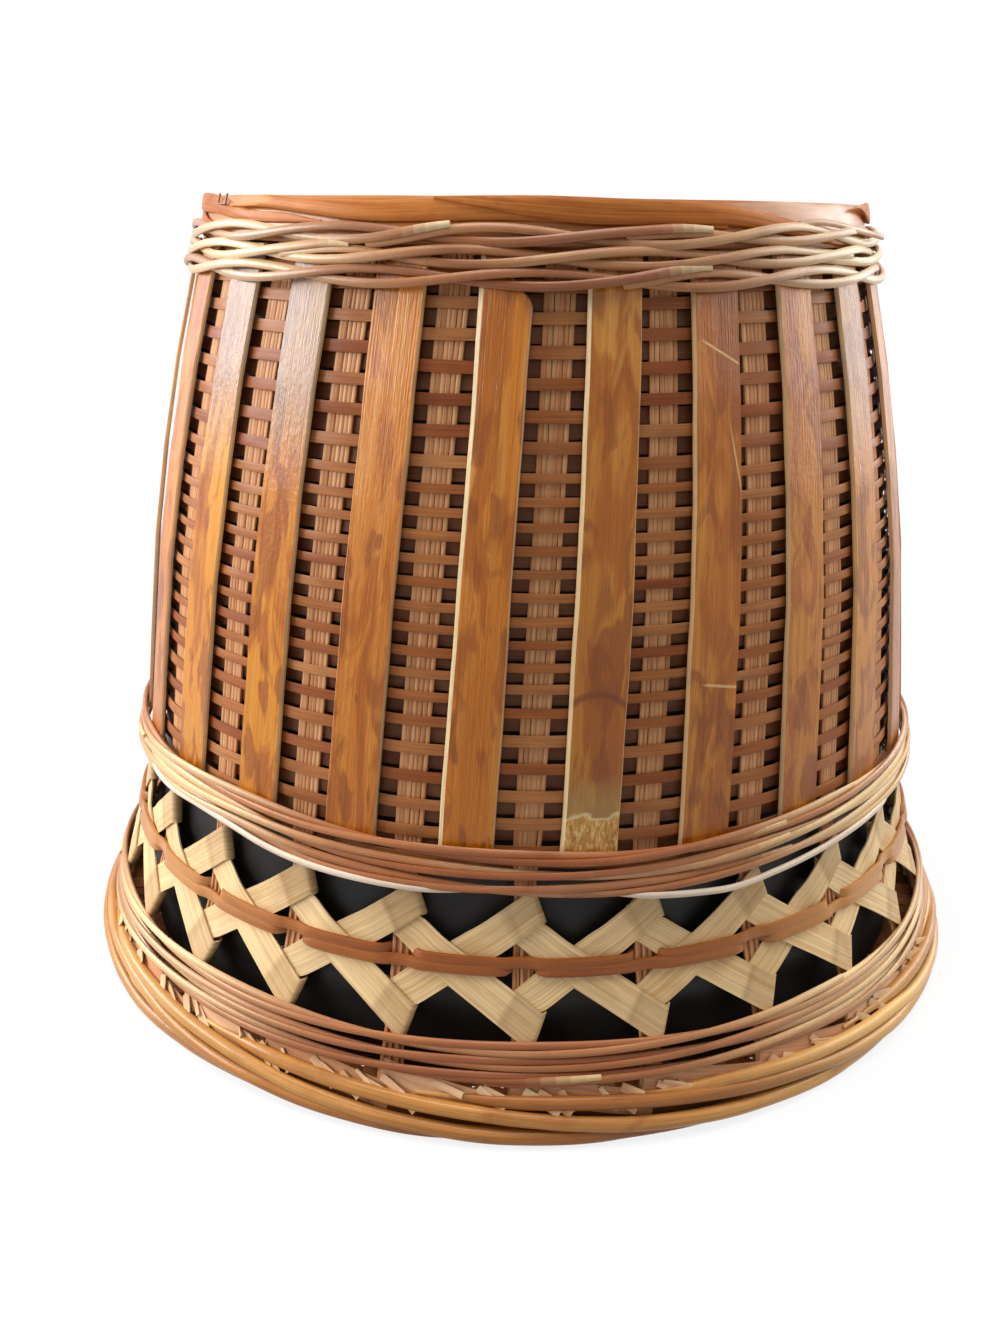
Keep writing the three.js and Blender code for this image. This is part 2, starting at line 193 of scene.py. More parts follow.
# Mesh tools. Attribute grain holds a point's place along and across its strand, and the
# strand's seed. Attribute tone holds how bare and pale the wood is, which in places is painted
# light, how much painted shade it has, and how peeled or worn a slat is, which on some slat
# tops is a painted highlight.


def rounded(points, power):
    """Outline of a section between -1 and 1: power 2 is an ellipse, more is squarer."""
    turn = (np.arange(points) + 0.5) * 2 * math.pi / points
    c, s = np.cos(turn), np.sin(turn)
    return stacked(np.sign(c) * np.abs(c) ** (2 / power), np.sign(s) * np.abs(s) ** (2 / power))


FLAT = np.array([
    (-1, -0.45), (-0.88, -1), (0.88, -1), (1, -0.45), (1, 0.2), (0.86, 0.74),
    (0.35, 1), (-0.35, 1), (-0.86, 0.74), (-1, 0.2)
])
ROUND = rounded(10, 2.3)
STRIP = rounded(8, 5)


def run_length(line):
    """Distance along a line at each of its points."""
    return np.concatenate([[0], np.cumsum(np.linalg.norm(np.diff(line, axis=0), axis=1))])


def strand(centre, normal, width, thick, outline=ROUND, closed=False, roll=0.0, cut=0.0, shade=0.0):
    """A swept strand. width runs along the wall's height and thick away from the wall."""
    n = len(centre)
    if closed:
        tangent = np.roll(centre, -1, 0) - np.roll(centre, 1, 0)
    else:
        tangent = np.gradient(centre, axis=0)
    tangent /= np.linalg.norm(tangent, axis=1, keepdims=True)
    out = normal - (normal * tangent).sum(1, keepdims=True) * tangent
    out /= np.linalg.norm(out, axis=1, keepdims=True)
    side = np.cross(out, tangent)
    roll = np.broadcast_to(roll, n)[:, None]
    out, side = np.cos(roll) * out + np.sin(roll) * side, np.cos(roll) * side - np.sin(roll) * out
    half_w, half_t = (np.broadcast_to(size, n)[:, None, None] / 2 for size in (width, thick))
    u, v = outline.T[..., None]
    verts = centre[:, None] + side[:, None] * u * half_w + out[:, None] * v * half_t
    seed = rng.random() * 40
    across = (u * half_w + 0.35 * v * half_t)[..., 0]
    return tube(verts, stacked(run_length(centre)[:, None], across, seed), closed, cut, shade)


def laid(angle, z, offset, width, thick, **more):
    """A strand along the wall, from its angles, heights and distances from the wall line."""
    return strand(at(angle, z, offset), outward(angle, z), width, thick, **more)


def tube(verts, grain, closed, cut, shade):
    """Quads over rings of points. A tube that doesn't close on itself gets a cap at each end."""
    n, m = verts.shape[:2]
    i = np.arange(n if closed else n - 1)
    j = np.arange(m)
    k = (j + 1) % m
    here, there = i[:, None] * m, ((i + 1) % n)[:, None] * m
    quads = np.stack([here + j, here + k, there + k, there + j], -1).reshape(-1, 4)
    shade = np.broadcast_to(shade, (m, n)).T.ravel()
    tone = np.zeros((len(quads), 4, 3))
    tone[..., 0] = np.broadcast_to(cut, (n, m))[i].reshape(-1, 1)
    tone[..., 1] = shade[quads]
    flat = verts.reshape(-1, 3)
    a, b, c, d = (flat[quads[:, q]] for q in range(4))
    volume = (np.cross(c - a, d - b) * (a - flat.mean(0))).sum()
    faces = [(quads, tone)]
    if not closed:
        ends = np.stack([j[::-1], (n - 1) * m + j])
        end_tone = np.zeros((2, m, 3))
        end_tone[..., 0] = 1.0
        end_tone[..., 1] = shade[ends]
        faces.append((ends, end_tone))
    if volume < 0:
        faces = [(f[:, ::-1], t[:, ::-1]) for f, t in faces]
    return flat, grain.reshape(-1, 3), faces


def sheet(middle, thick, grain, shade):
    """A bent flat strip from the grid of its middle surface, rings by points across."""
    m = middle.shape[1]
    normal = np.cross(np.gradient(middle, axis=0), np.gradient(middle, axis=1))
    normal /= np.linalg.norm(normal, axis=2, keepdims=True)
    front, back = middle + normal * thick / 2, middle - normal * thick / 2
    ring = np.concatenate([front, back[:, ::-1]], axis=1)
    ring_grain = np.concatenate([grain, grain[:, ::-1]], axis=1)
    cut = np.zeros(2 * m)
    cut[[m - 1, 2 * m - 1]] = 0.6
    return tube(ring, ring_grain, False, cut, shade)


def make_piece(name, parts, material, nodes=(), sharp=42):
    """One mesh of many parts. Each part is its points, their grain and its faces with tones."""
    verts = np.concatenate([p[0] for p in parts]) * MM
    grain = np.concatenate([p[1] for p in parts])
    loops, starts, tones = [], [], []
    base, count = 0, 0
    for flat, _, faces in parts:
        for corners, tone in faces:
            loops.append((corners + base).ravel())
            starts.append(count + np.arange(len(corners)) * corners.shape[1])
            tones.append(tone.reshape(-1, 3))
            count += corners.size
        base += len(flat)
    loops, starts, tones = map(np.concatenate, (loops, starts, tones))
    mesh = bpy.data.meshes.new(name)
    mesh.vertices.add(len(verts))
    mesh.vertices.foreach_set("co", verts.ravel())
    mesh.loops.add(len(loops))
    mesh.loops.foreach_set("vertex_index", loops.astype(np.int32))
    mesh.polygons.add(len(starts))
    mesh.polygons.foreach_set("loop_start", starts.astype(np.int32))
    mesh.polygons.foreach_set("use_smooth", np.ones(len(starts), bool))
    mesh.update(calc_edges=True)
    for label, domain, values in (("grain", "POINT", grain), ("tone", "CORNER", tones)):
        data = mesh.attributes.new(label, "FLOAT_VECTOR", domain)
        data.data.foreach_set("vector", values.astype(np.float32).ravel())
    mesh.validate()
    mesh.set_sharp_from_angle(angle=math.radians(sharp))
    mesh.materials.append(material)
    piece = placed(name, mesh)
    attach(piece, "root")
    if nodes:
        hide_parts(*nodes)


# Materials


def rgb(r, g, b):
    def linear(c):
        c /= 255
        return c / 12.92 if c <= 0.04045 else ((c + 0.055) / 1.055) ** 2.4

    return (linear(r), linear(g), linear(b), 1)


class Nodes:
    """Short calls that add shader nodes and return the socket that they give."""

    def __init__(self, owner):
        owner.use_nodes = True
        self.owner, self.tree = owner, owner.node_tree
        self.tree.nodes.clear()

    def add(self, kind, inputs=None, output=0, **settings):
        node = self.tree.nodes.new(kind)
        for key, value in settings.items():
            setattr(node, key, value)
        for key, value in (inputs or {}).items():
            if isinstance(value, bpy.types.NodeSocket):
                self.tree.links.new(value, node.inputs[key])
            else:
                node.inputs[key].default_value = value
        return node.outputs[output]

    def math(self, operation, a, b=0.0, c=0.0):
        return self.add("ShaderNodeMath", {0: a, 1: b, 2: c}, operation=operation)

    def times(self, value, factor):
        return self.math("MULTIPLY", value, factor)

    def away(self, a, b):
        return self.math("ABSOLUTE", self.math("SUBTRACT", a, b))

    def mix(self, share, a, b, blend="MIX"):
        return self.add(
            "ShaderNodeMix", {0: share, 6: a, 7: b}, output=2, data_type="RGBA", blend_type=blend
        )

    def split(self, vector):
        node = self.tree.nodes.new("ShaderNodeSeparateXYZ")
        self.tree.links.new(vector, node.inputs[0])
        return node.outputs

    def join(self, x, y, z):
        return self.add("ShaderNodeCombineXYZ", {0: x, 1: y, 2: z})

    def attribute(self, name):
        return self.split(self.add("ShaderNodeAttribute", output="Vector", attribute_name=name))

    def noise(self, x, y, z, detail=2.0, rough=0.5, twist=0.0):
        return self.add("ShaderNodeTexNoise", {
            "Vector": self.join(x, y, z), "Scale": 1.0, "Detail": detail,
            "Roughness": rough, "Distortion": twist
        }, output="Fac")

    def grained(self, grain, rates, *settings):
        """Noise that follows a strand's length, width and seed, each at its own rate."""
        return self.noise(*(self.times(*pair) for pair in zip(grain, rates)), *settings)

    def ramp(self, value, stops):
        node = self.tree.nodes.new("ShaderNodeValToRGB")
        self.tree.links.new(value, node.inputs[0])
        ramp = node.color_ramp
        while len(ramp.elements) < len(stops):
            ramp.elements.new(1)
        for element, (place, colour) in zip(ramp.elements, stops):
            element.position = place
            element.color = colour
        return node.outputs[0]

    def range(self, value, low, high, new_low=0.0, new_high=1.0):
        return self.add("ShaderNodeMapRange", {
            0: value, 1: low, 2: high, 3: new_low, 4: new_high
        })

    def background_rays(self):
        """1 for the rays that show the background: camera, glossy and transmission rays."""
        rays = self.tree.nodes.new("ShaderNodeLightPath").outputs
        seen = rays["Is Camera Ray"]
        for kind in ("Is Glossy Ray", "Is Transmission Ray"):
            seen = self.math("MAXIMUM", seen, rays[kind])
        return seen

    def bump(self, strength, distance, height):
        return self.add("ShaderNodeBump", {
            "Strength": strength, "Distance": distance, "Height": height
        })

    def surface(self, inputs):
        return self.finish(self.add("ShaderNodeBsdfPrincipled", inputs))

    def finish(self, shader, output="ShaderNodeOutputMaterial"):
        self.tree.links.new(shader, self.tree.nodes.new(output).inputs[0])
        return self.owner


def new_look(name):
    return Nodes(bpy.data.materials.new(name))


def bamboo(
    name, palette, blotch_colour, streak=0.3, blotch=0.4, pale=(232, 208, 164),
    dark=(58, 24, 12), rough=(0.34, 0.6), coat=0.4, coat_rough=0.2, fine=2.4, length=0.03,
    vein=0.0, specular=0.25
):
    """Split cane or bamboo. palette gives the tones among which each strand gets its own.

    length and fine are how fast the fibre changes along and across the strand.
    """
    n = new_look(name)
    grain = n.attribute("grain")
    cut, shade, _ = n.attribute("tone")
    pick = n.add("ShaderNodeTexWhiteNoise", {"W": grain[2]}, noise_dimensions="1D")
    drift = n.grained(grain, (0.011, 0.03, 5.3), 2)
    spread = n.math("ADD", n.times(pick, 0.75), n.range(drift, 0.3, 0.7, -0.12, 0.37))
    stops = [(i / (len(palette) - 1), rgb(*colour)) for i, colour in enumerate(palette)]
    base = n.ramp(spread, stops)
    fibre = n.grained(grain, (length, fine, 7.1), 4, 0.6)
    hair = n.grained(grain, (length * 2.5, fine * 3.3, 3.7), 2)
    mottle = n.grained(grain, (0.055, 0.16, 2.9), 3, 0.55, 0.6)
    tone = n.mix(n.range(mottle, 0.48, 0.72, 0, blotch), base, rgb(*blotch_colour))
    lines = n.range(fibre, 0.3, 0.7, 1 - streak, 1 + streak * 0.6)
    tone = n.mix(1.0, tone, n.join(lines, lines, lines), "MULTIPLY")
    if vein:
        veins = n.grained(grain, (0.012, 0.9, 1.7), 3, 0.5, 0.2)
        tone = n.mix(n.range(veins, 0.56, 0.64, 0, vein), tone, rgb(*blotch_colour))
    grain_pale = n.mix(n.range(hair, 0.35, 0.75, 0, 0.35), rgb(*pale), rgb(200, 160, 100))
    # Painted light and shade: cut pales the colour for bare wood and, on the cane bands, ring and
    # foot, for painted side light; shade darkens it, which is painted shade
    tone = n.mix(cut, tone, grain_pale)
    tone = n.mix(shade, tone, rgb(*dark))
    height = n.math("ADD", fibre, n.times(hair, 0.5))
    normal = n.bump(0.25, 0.0004, height)
    roughness = n.math("MAXIMUM", n.range(mottle, 0.35, 0.7, rough[0], rough[1]), n.times(cut, 0.6))
    return n.surface({
        "Base Color": tone, "Roughness": roughness, "Normal": normal, "Coat Weight": coat,
        "Coat Roughness": coat_rough, "Specular IOR Level": specular, "IOR": 1.5
    })


MATT = {"coat": 0.1, "coat_rough": 0.3, "rough": (0.45, 0.65)}

weft_look = bamboo(
    "weft splint", [(130, 64, 28), (150, 80, 38), (164, 98, 50), (184, 122, 72), (142, 74, 38)],
    (116, 56, 24), coat=0.15, coat_rough=0.3, rough=(0.45, 0.65), specular=0.15
)
stake_look = bamboo(
    "stake splint", [(190, 126, 80), (206, 144, 96), (218, 162, 114), (198, 134, 88)],
    (156, 94, 54), streak=0.34, blotch=0.25, specular=0.15, **MATT
)
waist_look = bamboo(
    "band cane", [(130, 62, 24), (148, 74, 32), (164, 90, 44), (188, 118, 68), (216, 166, 118)],
    (116, 52, 20), streak=0.26, blotch=0.45, coat=0.3, pale=(240, 204, 146)
)
lower_look = bamboo(
    "lower band cane", [(138, 70, 30), (156, 86, 40), (174, 106, 58), (204, 148, 98)],
    (128, 62, 24), streak=0.26, coat=0.3, coat_rough=0.22, pale=(240, 204, 146)
)
pale_cane_look = bamboo(
    "pale cane", [(226, 196, 166), (238, 218, 196)],
    (196, 146, 100), streak=0.2, blotch=0.3, coat=0.35, coat_rough=0.25
)
top_look = bamboo(
    "top band cane",
    [(138, 72, 32), (160, 92, 46), (178, 112, 62), (206, 152, 102), (170, 106, 58)],
    (122, 60, 26), streak=0.28, blotch=0.45, coat=0.45, coat_rough=0.22
)
ring_look = bamboo(
    "ring cane", [(134, 66, 18), (150, 78, 26), (164, 92, 34)],
    (122, 56, 14), streak=0.25, blotch=0.45, coat=0.3, coat_rough=0.18, rough=(0.36, 0.55),
    specular=0.2, pale=(224, 164, 92)
)
rim_look = bamboo(
    "rim cane", [(172, 92, 30), (192, 112, 44), (204, 128, 62), (182, 100, 36)],
    (140, 66, 14), blotch=0.5, coat=0.12, coat_rough=0.3, rough=(0.46, 0.62), fine=1.4,
    vein=0.5, specular=0.12
)
foot_look = bamboo(
    "foot cane", [(132, 68, 22), (160, 92, 30), (186, 120, 48), (212, 152, 78)],
    (132, 66, 16), streak=0.26, blotch=0.5, coat=0.35, coat_rough=0.16, fine=1.3, vein=0.3,
    pale=(240, 192, 112)
)
tuck_look = bamboo(
    "tucked splint", [(206, 144, 100), (224, 166, 122), (238, 190, 150)],
    (160, 100, 60), blotch=0.3, **MATT
)
straw_look = bamboo(
    "straw strip", [(240, 202, 146), (246, 212, 158), (252, 228, 182), (242, 206, 152)],
    (212, 160, 100), streak=0.26, blotch=0.45, coat=0.12, coat_rough=0.35, rough=(0.48, 0.68),
    fine=2.0, length=0.016, dark=(120, 76, 34), vein=0.5
)
hoop_look = bamboo(
    "rim hoop", [(178, 106, 36), (192, 122, 48)],
    (140, 74, 16), streak=0.25, blotch=0.45, rough=(0.32, 0.5), fine=1.0
)


ARC_STAIN, SCRATCHES = "arc stain", "scratches"
# Height at the middle, slope, left and right end and half width of each pale scratch
SCRATCH_LINES = (
    (59.4, -0.17, -4.0, 9.0, 0.4), (150.3, -4.7, 3.0, 8.0, 1.2), (153.5, -0.55, -5.5, 7.5, 0.35)
)


def slat_look(name, mark=None):
    """Varnished split bamboo: pooled amber varnish in long blotches over fine upright fibre."""
    n = new_look(name)
    grain = n.attribute("grain")
    along, across, seed = grain
    cut, shade, peel_and_highlight = n.attribute("tone")
    tone = n.ramp(n.math("FRACT", seed), [
        (0.0, rgb(204, 118, 40)), (0.25, rgb(220, 146, 38)), (0.5, rgb(208, 124, 24)),
        (0.75, rgb(206, 138, 52)), (1.0, rgb(206, 126, 38))
    ])
    fibre = n.grained(grain, (0.02, 2.2, 7.1), 5, 0.6)
    mottle = n.grained(grain, (0.025, 0.1, 2.9), 3, 0.5, 1.2)
    slow = n.noise(n.times(along, 0.012), 0.0, n.times(seed, 8.3), 1)
    # Noise, where it begins and ends, how much it covers and its colour
    for layer, low, high, share, colour in (
        (n.grained(grain, (0.012, 0.5, 4.3), 3, 0.5, 0.3), 0.44, 0.68, 0.5, (228, 168, 90)),
        (slow, 0.45, 0.7, 0.5, (184, 100, 10)),
        (mottle, 0.48, 0.57, 0.85, (176, 96, 8)),
        (n.grained(grain, (0.045, 0.15, 9.7), 2, 0.4, 0.8), 0.54, 0.61, 0.7, (150, 76, 6)),
        (n.grained(grain, (0.11, 0.9, 6.1), 3, 0.6), 0.64, 0.72, 0.5, (140, 68, 8))
    ):
        tone = n.mix(n.range(layer, low, high, 0, share), tone, rgb(*colour))
    # Fibre streaks, with painted shade: the slat is darker, and less blue, towards its lower end
    low = n.times(n.range(fibre, 0.3, 0.7, 0.83, 1.18), n.range(along, 10.0, 120.0, 0.76, 1.0))
    green, blue = n.range(along, 10.0, 120.0, 0.86, 0.97), n.range(along, 10.0, 120.0, 0.3, 0.9)
    lines = n.join(low, n.times(low, green), n.times(low, blue))
    tone = n.mix(1.0, tone, lines, "MULTIPLY")
    if mark == ARC_STAIN:
        ring = n.add("ShaderNodeVectorMath", {
            0: n.join(n.math("ADD", across, 0.5), n.math("SUBTRACT", along, 48.6), 0.0)
        }, output=1, operation="LENGTH")
        near = n.range(n.away(ring, 11.0), 0.5, 1.5, 0.75, 0)
        above = n.range(along, 54.0, 56.5, 0, 1)
        tone = n.mix(n.times(near, above), tone, rgb(120, 56, 6))
    if mark == SCRATCHES:
        for height, slope, left, right, half in SCRATCH_LINES:
            line = n.math("ADD", n.times(across, slope), height)
            near = n.range(n.away(along, line), half * 0.5, half * 1.4, 0.8, 0)
            inside = n.times(
                n.range(across, left, left + 2, 0, 1), n.range(across, right - 1, right, 1, 0)
            )
            tone = n.mix(n.times(near, inside), tone, rgb(232, 196, 128))
    chips = n.noise(n.times(along, 0.3), n.times(across, 0.9), seed, 4, 0.7, 0.5)
    rind = n.ramp(chips, [
        (0.34, rgb(150, 92, 26)), (0.5, rgb(204, 146, 66)), (0.62, rgb(236, 196, 124))
    ])
    # On the stained slat this is the colour of its worn, faded zone; on the others it is the colour
    # of a painted highlight on their tops
    wear_and_highlight = rgb(172, 138, 78) if mark == ARC_STAIN else rgb(144, 138, 130)
    tone = n.mix(n.range(peel_and_highlight, 0.0, 0.3, 0, 0.6), tone, wear_and_highlight)
    tone = n.mix(n.range(peel_and_highlight, 0.45, 0.6, 0, 1), tone, rind)
    border = n.math("SUBTRACT", 1.0, n.times(n.away(peel_and_highlight, 0.5), 6.0))
    tone = n.mix(n.math("MAXIMUM", n.times(border, 0.8), 0.0), tone, rgb(238, 214, 160))
    pale = n.mix(n.range(fibre, 0.35, 0.7, 0, 0.5), rgb(240, 216, 168), rgb(206, 156, 92))
    tone = n.mix(cut, tone, pale)
    # Painted shade, from the tone attribute
    tone = n.mix(shade, tone, rgb(60, 26, 12))
    dimple = n.grained(grain, (0.5, 0.8, 3.3), 2)
    height = n.math("ADD", n.times(fibre, 0.8), n.times(dimple, 0.5))
    normal = n.bump(0.6, 0.0006, height)
    rough = n.range(mottle, 0.35, 0.7, 0.45, 0.32)
    rough = n.math("MAXIMUM", rough, n.times(n.math("MAXIMUM", cut, peel_and_highlight), 0.65))
    return n.surface({
        "Base Color": tone, "Roughness": rough, "Normal": normal, "Coat Weight": 0.55,
        "Coat Roughness": 0.17, "Coat Normal": normal, "Specular IOR Level": 0.1, "IOR": 1.5
    })


def film_look():
    n = new_look("black film")
    along, across, _ = n.attribute("grain")
    wave = n.noise(n.times(along, 0.03), n.times(across, 0.03), 1.0, 3, 0.5, 0.4)
    tone = n.mix(wave, rgb(8, 8, 8), rgb(30, 25, 22))
    return n.surface({
        "Base Color": tone, "Roughness": n.range(wave, 0.3, 0.7, 0.4, 0.6),
        "Normal": n.bump(0.6, 0.002, wave), "IOR": 1.35
    })


def wire_look():
    n = new_look("staple wire")
    spot = n.add("ShaderNodeTexNoise", {"Scale": 900.0}, output="Fac")
    return n.surface({
        "Base Color": n.mix(spot, rgb(86, 74, 66), rgb(128, 118, 110)), "Metallic": 1.0,
        "Roughness": n.range(spot, 0.3, 0.7, 0.3, 0.5)
    })


# The two edges of the waist band: it lies higher at both sides than in front

WAIST_ANGLES = (-186, -120, -85, -66, -50, -38, -26, -12, 0, 10, 25, 40, 55, 75, 115, 186)
WAIST_TOP = (88, 88.2, 90, 91, 92, 92.2, 91.2, 90, 88.9, 88.2, 89.8, 91.2, 92, 91.5, 88.4, 88)
WAIST_BOTTOM = (74, 74, 75, 77.6, 79.8, 79.6, 76, 74.4, 74.2, 74.1, 75, 76.4, 77.2, 76.6, 74.2, 74)


def wrapped(angle):
    return (np.asarray(angle) + 180) % 360 - 180


def waist_edges(angle):
    angle = wrapped(angle)
    return curve(angle, WAIST_ANGLES, WAIST_BOTTOM), curve(angle, WAIST_ANGLES, WAIST_TOP)


# Stakes and weft

SPLINTS = 6
SPLINT_THICK = 1.0
STAKE_FOOT, STAKE_TOP = 1.6, 267.3
# The zigzag strip squeezes the bundle of splints together, and it spreads again at the foot
STAKE_WIDTH, SQUEEZED_WIDTH, FOOT_SPREAD = 8.6, 6.4, 2.2
WEFT_THICK = 0.5
# How far the middle of a row swings out over a stake and in behind the next
SWING_OUT, SWING_IN = 1.08, 0.9
ROW_SAMPLES = 10
WEFT_PIECES = 4
WEFT_Z = np.linspace(80.5, 264.5, 737)
# The rows were beaten closer together halfway up the wall
WEFT_PITCH = 4.25 - 0.95 * (smooth(118, 138, WEFT_Z) - smooth(190, 204, WEFT_Z))
WEFT_TURNS = np.cumsum(np.gradient(WEFT_Z) / WEFT_PITCH)


def stakes():
    # The points lie closer below the waist, where the bundle narrows
    z = np.concatenate([np.linspace(STAKE_FOOT, 84, 42), np.linspace(90, STAKE_TOP, 34)])
    for i in range(STAKES):
        node = f"stake_{i + 1:02d}"
        parts = []
        loose = STAKE_WIDTH * rng.uniform(0.94, 1.16)
        total = SQUEEZED_WIDTH + (loose - SQUEEZED_WIDTH) * smooth(74, 92, z)
        total = total + FOOT_SPREAD * smooth(28, 12, z)
        for s in range(SPLINTS):
            share = (s + 0.5) / SPLINTS - 0.5
            width = (total / SPLINTS) * rng.uniform(0.92, 1.06)
            across = share * total + wander(z, 0.14, 90, any_phase())
            depth = 0.3 * (-1) ** s * smooth(80, 60, z) + wander(z, 0.08, 60, any_phase())
            angle = FRONT_STAKE + STEP * i + lean(z) + np.degrees(across / wall(z))
            thick = SPLINT_THICK + rng.uniform(-0.12, 0.12)
            parts.append(laid(angle, z, depth, width, thick, outline=STRIP))
        make_piece(f"{node}_splints", parts, stake_look, [node])


def weft():
    last = int(WEFT_TURNS[-1]) * STAKES
    groups = [[] for _ in range(WEFT_PIECES)]
    start = 1
    while start < last - 4:
        end = min(start + 2 * int(rng.integers(9, 16)), last)
        k = np.linspace(start - 0.1, end + 0.1, (end - start) * ROW_SAMPLES + 3)
        height = np.interp(k / STAKES, WEFT_TURNS, WEFT_Z)
        pitch = np.interp(height, WEFT_Z, WEFT_PITCH)
        z = height + wander(k, 0.3, 7, any_phase())
        swing = np.cos(math.pi * k)
        side = np.sign(swing) * np.abs(swing) ** 0.75
        offset = 0.05 + np.where(side > 0, SWING_OUT, SWING_IN) * side
        # Behind the stakes the rows spread and close the wall, apart from its lowest part
        behind = smooth(-0.3, -0.6, swing)
        width = pitch * (rng.uniform(0.79, 0.9) + 0.3 * behind * smooth(92, 102, z))
        # Painted shade darkens each row where it lies behind a stake
        groups[int(WEFT_PIECES * (start / last))].append(laid(
            BACK + STEP * k + lean(z), z, offset, width, WEFT_THICK, outline=STRIP,
            shade=0.7 * behind, roll=wander(k, 0.07, 5, any_phase())
        ))
        start = end
    for number, parts in enumerate(groups):
        make_piece(f"weft_rows_{number + 1}", parts, weft_look, ["weft"])


# Slats

CHAMFERED, PEELED, SCRATCHED = 25, 1, 2
CHAMFER_START = 241.5
SLAT_BULGE = 0.18
SLAT_FACE_POINTS = 15
# Reddish at 0, golden at 0.25, orange at 0.5, olive at 0.75, brown at 1
SLAT_TONES = {
    21: 0.05, 22: 0.25, 23: 0.3, 24: 0.08, 25: 0.5, 1: 0.76, 2: 0.62, 3: 0.9, 4: 0.3, 5: 0.95
}
# Slats whose tops get a painted highlight, and how strong it is
PAINTED_HIGHLIGHT_TOPS = {22: 0.28, 23: 0.3, 4: 0.16}
# Width of the left bevel, and how bare it is. Bare cut wood is pale; on these slats it is made
# barer where the left light catches the bevel, which is in part a painted highlight.
LIT_BEVELS = {25: (1.3, 0.95), 1: (1.0, 0.8), 2: (0.7, 0.6), 3: (0.6, 0.6)}


def slats():
    plain = slat_look("varnished slat")
    looks = {
        PEELED: slat_look("stained slat", ARC_STAIN),
        SCRATCHED: slat_look("scratched slat", SCRATCHES)
    }
    for number in range(1, STAKES + 1):
        node = f"slat_{number:02d}"
        rows = levels(node)
        # The lower end hides behind the upper canes of the waist band
        low, high = waist_edges(rows[0, 1])
        z = np.linspace(0.22 * low + 0.78 * high, rows[-1, 0], 92)
        angle = np.radians(extended(z, rows[:, 0], np.degrees(np.unwrap(np.radians(rows[:, 1])))))
        inner, outer, half = (extended(z, rows[:, 0], rows[:, column]) for column in (2, 3, 4))
        wide = rng.uniform(0.94, 1.02)
        left = -half * wide + wander(z, 0.3, 160, any_phase())
        right = half * wide + wander(z, 0.3, 150, any_phase())
        if number == CHAMFERED:
            right -= np.clip((z - CHAMFER_START) * 0.95, 0, 7)
        left_bevel, right_bevel = rng.uniform(0.35, 0.6), rng.uniform(0.3, 0.5)
        left_bevel, left_cut_and_highlight = LIT_BEVELS.get(number, (left_bevel, 0.4))
        seed = int(rng.integers(1, 40)) + SLAT_TONES.get(number, rng.uniform(0.02, 0.98))
        face_left, face_right = left + left_bevel, right - right_bevel
        outline = [(left, 0.0), (left + 0.05, 0.4)]
        for step in np.linspace(0, 1, SLAT_FACE_POINTS):
            outline.append((face_left + (face_right - face_left) * step, 1.0))
        outline += [(right - 0.05, 0.5), (right, 0.0)]
        rings, grain = [], []
        for x, v in outline:
            share = (x - left) / (right - left) * 2 - 1
            radius = inner + (outer - inner) * v
            if v == 1:
                radius = radius - SLAT_BULGE * share**2 + wander(z + 20 * share, 0.05, 70, seed)
            rings.append(stacked(
                radius * np.sin(angle) + x * np.cos(angle),
                x * np.sin(angle) - radius * np.cos(angle), z
            ))
            grain.append(stacked(z - rows[0, 0], x, seed))
        cut = np.zeros(len(outline))
        cut[[0, 1]] = left_cut_and_highlight
        cut[[-2, -3]] = 0.45
        cut[-1] = 0.3
        slat = tube(np.stack(rings, 1), np.stack(grain, 1), False, cut, 0.0)
        _, places, ((corners, tone), _) = slat
        spot = places[corners]
        # A painted highlight: these slat tops are made paler and greyer
        if number in PAINTED_HIGHLIGHT_TOPS:
            tone[..., 2] = PAINTED_HIGHLIGHT_TOPS[number] * smooth(105, 150, spot[..., 0])
        if number == PEELED:
            ragged = 0.8 * np.sin(spot[..., 1] * 0.55) + 0.3 * np.sin(spot[..., 1] * 1.4 + 1)
            height = spot[..., 0] + ragged
            tone[..., 2] = 0.3 * smooth(38, 26, height) + 0.7 * smooth(23.5, 20.5, height)
        make_piece(f"{node}_bamboo", [slat], looks.get(number, plain), [node], sharp=28)


# Rim

# Angles, heights, widths and offsets of the three flat strands that lie over the rim in front
RIM_STRANDS = (
    (
        (-94, -84, -74, -62, -47.5, -39, -32),
        (267.6, 267.2, 266.6, 265.9, 262.7, 262.3, 261.5),
        (1.0, 3.4, 5.6, 5.5, 3.3, 2.6, 0.7),
        (4.2, 4.2, 4.1, 3.6, 3.4, 3.3, 3.2)
    ),
    (
        (-54, -50, -46, -35, -24.5, -15, -5, 6, 18, 28),
        (265.6, 266.2, 266.8, 265.6, 264.5, 265.1, 265.7, 264.6, 263.0, 261.6),
        (0.9, 2.1, 3.2, 3.7, 5.2, 6.2, 6.5, 5.0, 3.5, 1.2),
        (4.3, 4.4, 4.4, 4.4, 4.2, 3.7, 3.3, 3.2, 3.2, 3.2)
    ),
    (
        (-14, -7.5, 0, 7, 18.5, 28, 39.5, 51.8, 62),
        (268.2, 267.4, 266.3, 265.4, 265.1, 264.6, 261.8, 258.4, 256.6),
        (0.8, 2.9, 5.6, 7.0, 6.0, 5.0, 4.4, 3.2, 1.2),
        (4.2, 4.5, 4.5, 4.5, 4.4, 4.3, 3.8, 3.3, 3.2)
    )
)
OTHER_RIM_STARTS = (62, 98, 134, 168, 204, 236)
RIM_STRAND_THICK, RIM_STRAND_ROLL = 1.1, -0.08
HOOP_Z, HOOP_HEIGHT, HOOP_THICK, HOOP_OFFSET = 262.2, 13.2, 1.5, 1.9


